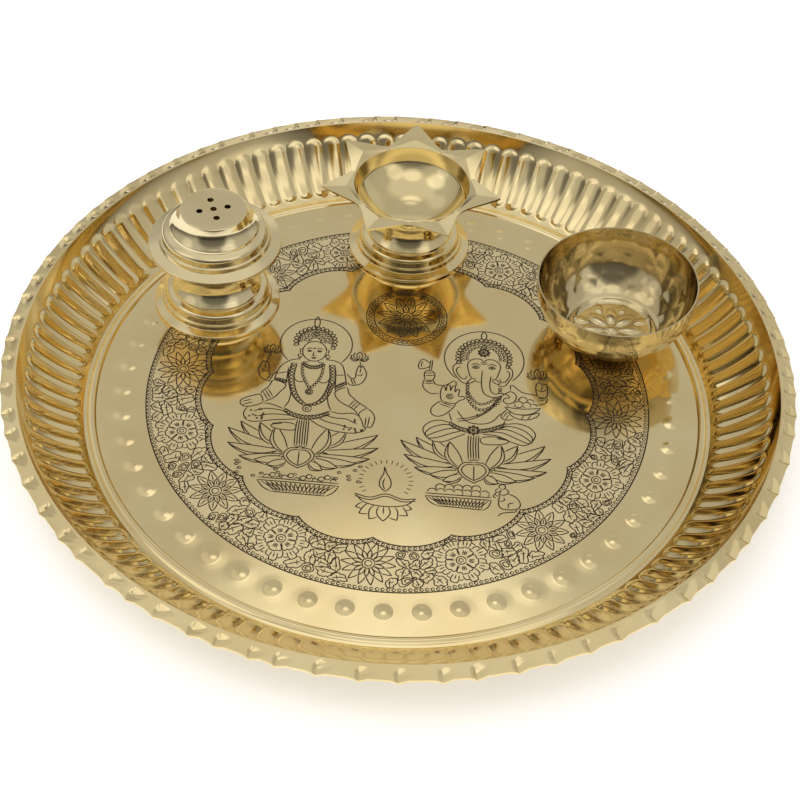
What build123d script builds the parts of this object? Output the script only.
from build123d import *
from math import atan2, cos, degrees, floor, hypot, radians, sin, sqrt, tan
import os

os.makedirs("parts", exist_ok=True)

# A brass puja thali: a pressed tray with an incense stand, an oil lamp and a small bowl standing on it.
# Millimetres. The origin is under the middle of the tray, +Z is up, and -Y is the front of the tray.

# Tray
tray_r = 152.5
tray_sheet = 1.0
rim_z = 23.3              # top of the flange at its outer edge
flange_w = 5.8            # from the top of the wall to the outer edge
flange_droop = 0.5        # fall of the flange towards its outer edge
wall_foot_gap = 1.0       # flat floor between the kerb and the foot of the wall
wall_foot_angle = 16.0    # slope of the wall where it leaves the floor, in degrees
kerb_inset = 32.5         # from the outer edge to the crest of the kerb, a bead around the floor
kerb_w = 4.0
kerb_h = 1.0
flute_count = 110         # flutes pressed up along the wall
flute_slope = 39.0        # slope of the wall at the middle of a flute, in degrees
flute_h = 1.2             # height over the wall, half way along
flute_section_r = 3.6     # roundness across
flute_crest_r = 105.0     # hollow curve of the crest along the wall, flatter than the wall's own
crimp_count = 76          # folds pressed down across the flange
crimp_w = 4.8             # at the outer edge
crimp_tip_w = 0.3         # at the top of the wall
crimp_d = 1.3
dimple_count = 50         # round dimples pressed up inside the kerb
dimple_inset = 12.0       # from the crest of the kerb to the middle of a dimple
dimple_r = 3.3
dimple_h = 0.9

# Stepped pressing that makes the stand's three pieces and the lamp's base
pressing_r = 25.7
pressing_sheet = 0.7
pressing_h = 17.3         # from the bottom of the lip to the top of the disc
lip_h = 3.4
disc_r = 12.6             # flat top
disc_round = 1.2
drum_foot_r = 17.0        # concave drum, from the disc down to the step
drum_hollow = 1.0         # how far the drum's side bows in
step_w = 1.0              # ledge at the foot of the drum
step_z = 10.2
ring_foot_r = 21.0        # convex ring between the ledge and the flange
ring_foot_z = 5.6
ring_bulge = 0.8
lip_round = 1.0

# Incense stand
stand_kerb_gap = 0.5      # between the stand's lip and the foot of the kerb
stand_dimples = 8         # dimple pitches from the lamp round to the stand
bowl_lip_h = 1.9          # the middle pressing has a shorter lip
lid_slip = 0.3            # radial room between the lid's lip and the middle pressing
hole_r = 1.3              # holes for incense sticks
hole_ring_r = 5.7
hole_turn = 18.5          # turn of the four outer holes, in degrees
rivet_r = 2.0
rivet_head_r = 3.6
rivet_head_h = 1.0
rivet_slip = 0.05

# Oil lamp
lamp_angle = 89.4         # place around the tray, in degrees from +X
lamp_kerb_gap = 1.5
cup_rim_r = 24.9          # outside of the cup at its rim
cup_foot_r = 5.8          # flat bottom
cup_h = 15.8
cup_sheet = 0.8
cup_bulge = 4.2           # how far the cup's side bows out from a straight cone
ray_count = 7             # points of the star around the rim
ray_tip_r = 38.0
ray_tip_w = 1.0           # the points are blunt by this much
ray_tip_rise = 1.6        # the points stand higher than the rim
ray_valley_r = 26.4       # where the edges of two neighbouring points meet
ray_crease = 0.5          # height of the crease along the middle of a point
ray_turn = -1.4           # turn of the first point from +Y, in degrees

# Small bowl
katori_r = 32.3
katori_h = 28.0
katori_foot_r = 16.0
katori_sheet = 0.9
katori_bulge = 4.6        # how far the side bows out from a straight cone
katori_inset = 21.7       # from the foot of the kerb to the middle of the bowl
katori_dimples = 8.76     # dimple pitches from the lamp round to the bowl
seat_slip = 0.05          # room under what stands on curved dimples

floor_z = tray_sheet
kerb_r = tray_r - kerb_inset
dimple_pitch = 360 / dimple_count
dimple_ring_r = kerb_r - dimple_inset
kerb_foot_r = kerb_r - kerb_w / 2
katori_centre_r = kerb_foot_r - katori_inset


def around(radius, angle, z=0):
    """A point at a distance from the middle of the tray, at an angle in degrees from +X."""
    return Vector(radius * cos(radians(angle)), radius * sin(radians(angle)), z)


def upright(origin):
    """A radial plane through a vertical axis: x outwards, y upwards."""
    return Plane(origin=origin, x_dir=(1, 0, 0), z_dir=(0, -1, 0))


def inverted(origin):
    """A radial plane through a vertical axis: x outwards, y downwards."""
    return Plane(origin=origin, x_dir=(1, 0, 0), z_dir=(0, 1, 0))


def bowed(start, end, bulge):
    """The middle point of an arc from start to end that bows to the right of that direction."""
    along = Vector(end) - Vector(start)
    side = Vector(along.Y, -along.X).normalized() * bulge
    return Vector(start) + along * 0.5 + side


# Places of the three things that stand on the tray
stand_angle = lamp_angle + stand_dimples * dimple_pitch
stand_place = around(kerb_foot_r - stand_kerb_gap - pressing_r, stand_angle, floor_z)
lamp_place = around(kerb_foot_r - lamp_kerb_gap - pressing_r, lamp_angle, floor_z)
katori_angle = lamp_angle - katori_dimples * dimple_pitch


def clear_of_lips(angle):
    """True where a dimple at this angle stays off the lips of the stand and the lamp."""
    dimple = around(dimple_ring_r, angle)
    for place in (stand_place, lamp_place):
        distance = (dimple - Vector(place.X, place.Y)).length
        if pressing_r - pressing_sheet - dimple_r < distance < pressing_r + dimple_r:
            return False
    return True


# Tray: floor, kerb, concave wall and flange in one sheet, with flutes, dimples and crimps pressed through it
wall_top = Vector(tray_r - flange_w, rim_z + flange_droop)
wall_foot = Vector(kerb_r + kerb_w / 2 + wall_foot_gap, floor_z)
wall_chord = wall_top - wall_foot
wall_half_turn = degrees(atan2(wall_chord.Y, wall_chord.X)) - wall_foot_angle
wall_sag = wall_chord.length / 2 * tan(radians(wall_half_turn / 2))
wall_r = wall_chord.length / 2 / sin(radians(wall_half_turn))


def across_wall(slope):
    """The direction square to the wall, to its hollow side, where the wall has this slope in degrees."""
    return Vector(-sin(radians(slope)), 0, cos(radians(slope)))


wall_middle = Vector(wall_foot.X, 0, wall_foot.Y) + across_wall(wall_foot_angle) * wall_r
crest_middle = wall_middle + across_wall(flute_slope) * (flute_crest_r + flute_h - wall_r)
flute_reach = sqrt(8 * (flute_h + tray_sheet) / (1 / wall_r - 1 / flute_crest_r))
flute_turn = degrees(flute_reach / flute_crest_r)
flute_start = flute_slope - flute_turn / 2
flute_axis = Axis(crest_middle, (0, -1, 0))
flute_plane = Plane(
    origin=crest_middle - across_wall(flute_start) * (flute_crest_r + flute_section_r),
    x_dir=(0, 1, 0),
    z_dir=(cos(radians(flute_start)), 0, sin(radians(flute_start))),
)

# A flute is a bent rod, cut off half way through the sheet, and its back is a thinner rod inside it
with BuildPart() as flute:
    with BuildSketch(flute_plane):
        Circle(flute_section_r)
    revolve(axis=flute_axis, revolution_arc=flute_turn)
    with Locations((0, 0, wall_middle.Z)):
        Torus(wall_middle.X, wall_r + tray_sheet / 2, mode=Mode.INTERSECT)

with BuildPart() as flute_back:
    with BuildSketch(flute_plane):
        Circle(flute_section_r - tray_sheet)
    revolve(axis=flute_axis, revolution_arc=flute_turn)

# A crimp is a wedge across the flange, opening from the top of the wall to the outer edge
crimps = []
for reach in (flange_w, flange_w + tray_sheet):
    with BuildPart() as crimp:
        for share in (crimp_tip_w / crimp_w, reach / flange_w):
            crimp_place = (wall_top.X + share * flange_w, 0, wall_top.Y - share * flange_droop)
            with BuildSketch(Plane(origin=crimp_place, x_dir=(0, 1, 0), z_dir=(1, 0, 0))):
                with BuildLine():
                    half_w = share * crimp_w / 2
                    Polyline((-half_w, 0), (0, -share * crimp_d), (half_w, 0))
                    Polyline((half_w, 0), (half_w, tray_sheet / 2), (-half_w, tray_sheet / 2), (-half_w, 0))
                make_face()
        loft(ruled=True)
    crimps.append(crimp.part)
crimp_fold, crimp_cut = crimps

with BuildPart() as dimple:
    with BuildSketch(Plane.XZ):
        with BuildLine():
            RadiusArc((0, dimple_h), (dimple_r, 0), (dimple_r**2 + dimple_h**2) / (2 * dimple_h))
            Polyline((dimple_r, 0), (0, 0), (0, dimple_h))
        make_face()
    revolve(axis=Axis.Z)

dimple_angles = [lamp_angle + dimple_pitch * step for step in range(dimple_count)]
dimple_places = [around(dimple_ring_r, angle) for angle in dimple_angles if clear_of_lips(angle)]

with BuildPart() as tray:
    with BuildSketch(Plane.XZ):
        with BuildLine():
            Line((0, floor_z), (kerb_foot_r, floor_z))
            ThreePointArc((kerb_foot_r, floor_z), (kerb_r, floor_z + kerb_h), (kerb_r + kerb_w / 2, floor_z))
            Line((kerb_r + kerb_w / 2, floor_z), wall_foot)
            ThreePointArc(wall_foot, bowed(wall_foot, wall_top, wall_sag), wall_top)
            Line(wall_top, (tray_r, rim_z))
            offset(amount=tray_sheet, side=Side.RIGHT)
        make_face()
    revolve(axis=Axis.Z)
    with PolarLocations(0, flute_count):
        add(flute.part)
    with PolarLocations(0, flute_count):
        add(flute_back.part, mode=Mode.SUBTRACT)
    with Locations((0, 0, -tray_sheet)):
        with PolarLocations(0, crimp_count):
            add(crimp_fold)
    with PolarLocations(0, crimp_count):
        add(crimp_cut, mode=Mode.SUBTRACT)
    with Locations([place + Vector(0, 0, floor_z) for place in dimple_places]):
        add(dimple.part)
    with Locations(dimple_places):
        add(dimple.part, mode=Mode.SUBTRACT)

tray.part.label = "tray"
export_step(tray.part, "parts/tray.step")


# Pressed pieces of the stand and the lamp


def pressing_line(lip_r, lip_drop):
    """Draws the section of the stepped pressing, from the middle of its disc out to the end of its lip.

    The flange's outer top edge is lip_h above zero, and the lip hangs lip_drop below that edge.
    """
    disc_edge = (disc_r + disc_round, pressing_h - disc_round)
    drum_foot = (drum_foot_r, step_z)
    ledge = (drum_foot_r + step_w, step_z)
    ring_foot = (ring_foot_r, ring_foot_z)
    Line((0, pressing_h), (disc_r, pressing_h))
    RadiusArc((disc_r, pressing_h), disc_edge, disc_round)
    ThreePointArc(disc_edge, bowed(disc_edge, drum_foot, drum_hollow), drum_foot)
    Line(drum_foot, ledge)
    ThreePointArc(ledge, bowed(ledge, ring_foot, -ring_bulge), ring_foot)
    Line(ring_foot, (lip_r - lip_round, lip_h))
    RadiusArc((lip_r - lip_round, lip_h), (lip_r, lip_h - lip_round), lip_round)
    Line((lip_r, lip_h - lip_round), (lip_r, lip_h - lip_drop))
    offset(amount=pressing_sheet, side=Side.RIGHT)


def head_arc(base_z, up):
    """Draws a rivet's domed head from its edge at base_z to its crown, upwards for up = 1 and down for -1."""
    dome_r = (rivet_head_r**2 + rivet_head_h**2) / (2 * rivet_head_h)
    half_r = rivet_head_r / 2
    half_h = rivet_head_h - dome_r + sqrt(dome_r**2 - half_r**2)
    ThreePointArc((rivet_head_r, base_z), (half_r, base_z + up * half_h), (0, base_z + up * rivet_head_h))


stand_axis = Axis(stand_place, (0, 0, 1))
lamp_axis = Axis(lamp_place, (0, 0, 1))
joint_z = pressing_h                                  # where the stand's two discs meet
bowl_origin_z = 2 * pressing_h
bowl_top_z = bowl_origin_z - (lip_h - bowl_lip_h)     # end of the middle pressing's lip
lid_r = pressing_r + lid_slip + pressing_sheet
lid_slope = (ring_foot_z - lip_h) / (lid_r - lip_round - ring_foot_r)
lid_seat = lip_h + lid_slope * (lid_r - lip_round - pressing_r) - pressing_sheet * hypot(1, lid_slope)
lid_z = bowl_top_z + seat_slip - lid_seat

with BuildPart() as stand_base:
    with BuildSketch(upright(stand_place)):
        with BuildLine():
            pressing_line(pressing_r, lip_h)
        make_face()
    revolve(axis=stand_axis)
    with Locations(stand_place + Vector(0, 0, pressing_h)):
        Hole(rivet_r + rivet_slip)

stand_base.part.label = "stand_base"
export_step(stand_base.part, "parts/stand_base.step")

with BuildPart() as stand_bowl:
    with BuildSketch(inverted(stand_place + Vector(0, 0, bowl_origin_z))):
        with BuildLine():
            pressing_line(pressing_r, bowl_lip_h)
        make_face()
    revolve(axis=stand_axis)
    with Locations(stand_place + Vector(0, 0, joint_z)):
        Hole(rivet_r + rivet_slip)

stand_bowl.part.label = "stand_bowl"
export_step(stand_bowl.part, "parts/stand_bowl.step")

with BuildPart() as stand_lid:
    with BuildSketch(upright(stand_place + Vector(0, 0, lid_z))):
        with BuildLine():
            pressing_line(lid_r, lip_h)
        make_face()
    revolve(axis=stand_axis)
    with Locations(stand_place + Vector(0, 0, lid_z + pressing_h)):
        Hole(hole_r)
        with PolarLocations(hole_ring_r, 4, start_angle=hole_turn):
            Hole(hole_r)

stand_lid.part.label = "stand_lid"
export_step(stand_lid.part, "parts/stand_lid.step")

with BuildPart() as stand_rivet:
    low = joint_z - pressing_sheet
    high = joint_z + pressing_sheet
    with BuildSketch(upright(stand_place)):
        with BuildLine():
            head_arc(high, 1)
            Polyline((rivet_head_r, high), (rivet_r, high), (rivet_r, low), (rivet_head_r, low))
            head_arc(low, -1)
            Line((0, low - rivet_head_h), (0, high + rivet_head_h))
        make_face()
    revolve(axis=stand_axis)

stand_rivet.part.label = "stand_rivet"
export_step(stand_rivet.part, "parts/stand_rivet.step")

# Lamp: base pressing, star cup, and a stud that is brazed under the cup and peened under the base
with BuildPart() as lamp_base:
    with BuildSketch(upright(lamp_place)):
        with BuildLine():
            pressing_line(pressing_r, lip_h)
        make_face()
    revolve(axis=lamp_axis)
    with Locations(lamp_place + Vector(0, 0, pressing_h)):
        Hole(rivet_r + rivet_slip)

lamp_base.part.label = "lamp_base"
export_step(lamp_base.part, "parts/lamp_base.step")

with BuildPart() as lamp_stud:
    low = pressing_h - pressing_sheet
    with BuildSketch(upright(lamp_place)):
        with BuildLine():
            Polyline((0, pressing_h), (rivet_r, pressing_h), (rivet_r, low), (rivet_head_r, low))
            head_arc(low, -1)
            Line((0, low - rivet_head_h), (0, pressing_h))
        make_face()
    revolve(axis=lamp_axis)

lamp_stud.part.label = "lamp_stud"
export_step(lamp_stud.part, "parts/lamp_stud.step")

half_ray = radians(180 / ray_count)
valley_x = ray_valley_r * cos(half_ray)
valley_w = ray_valley_r * sin(half_ray)
ray_start = (cup_rim_r - 2 * cup_sheet) * cos(half_ray)
ray_taper = (ray_tip_w / 2 - valley_w) / (ray_tip_r - valley_x)


def ray_section(half_w, edge_z, crease_z):
    """Draws a folded strip across a point of the star."""
    top = [(-half_w, edge_z), (0, crease_z), (half_w, edge_z)]
    under = [(x, z - cup_sheet) for x, z in reversed(top)]
    Polyline(*top, *under, close=True)


with BuildPart() as ray:
    for x, z in ((ray_start, 0), (ray_tip_r, ray_tip_rise)):
        with BuildSketch(Plane(origin=(x, 0, cup_h + z), x_dir=(0, 1, 0), z_dir=(1, 0, 0))):
            with BuildLine():
                ray_section(valley_w + ray_taper * (x - valley_x), 0, ray_crease)
            make_face()
    loft(ruled=True)

cup_place = lamp_place + Vector(0, 0, pressing_h)
with BuildPart() as lamp_cup:
    with Locations(cup_place):
        with PolarLocations(0, ray_count, start_angle=90 + ray_turn):
            add(ray.part)
    with BuildSketch(upright(cup_place)):
        with BuildLine():
            foot = (cup_foot_r, 0)
            rim = (cup_rim_r, cup_h)
            ThreePointArc(foot, bowed(foot, rim, cup_bulge), rim)
            Polyline(rim, (0, cup_h), (0, 0), foot)
        make_face()
    revolve(axis=lamp_axis)
    with BuildSketch(upright(cup_place)):
        with BuildLine():
            foot = (cup_foot_r, cup_sheet)
            rim = (cup_rim_r - cup_sheet, cup_h)
            brim_z = cup_h + ray_crease + ray_tip_rise
            ThreePointArc(foot, bowed(foot, rim, cup_bulge), rim)
            Polyline(rim, (rim[0], brim_z), (0, brim_z), (0, cup_sheet), foot)
        make_face()
    revolve(axis=lamp_axis, mode=Mode.SUBTRACT)

lamp_cup.part.label = "lamp_cup"
export_step(lamp_cup.part, "parts/lamp_cup.step")

# Small bowl: its inner edge stands on the floor and its outer side on the two nearest dimples
katori_lean_angle = lamp_angle - (floor(katori_dimples) + 0.5) * dimple_pitch
katori_lean = around(1, katori_lean_angle)
dimple_reach = dimple_ring_r * cos(radians(dimple_pitch / 2))
foot_reach = around(katori_centre_r, katori_angle).dot(katori_lean) - katori_foot_r
katori_tilt = atan2(dimple_h, dimple_reach - foot_reach)
katori_place = around(katori_centre_r, katori_angle, floor_z + seat_slip + katori_foot_r * sin(katori_tilt))
katori_up = around(-sin(katori_tilt), katori_lean_angle, cos(katori_tilt))
katori_side = around(1, katori_lean_angle + 90)
katori_plane = Plane(origin=katori_place, x_dir=katori_side, z_dir=katori_side.cross(katori_up))

with BuildPart() as katori:
    with BuildSketch(katori_plane):
        with BuildLine():
            foot = (katori_foot_r, 0)
            rim = (katori_r, katori_h)
            Line((0, 0), foot)
            ThreePointArc(foot, bowed(foot, rim, katori_bulge), rim)
            offset(amount=katori_sheet, side=Side.LEFT)
        make_face()
    revolve(axis=Axis(katori_place, katori_up))

katori.part.label = "bowl"
export_step(katori.part, "parts/bowl.step")
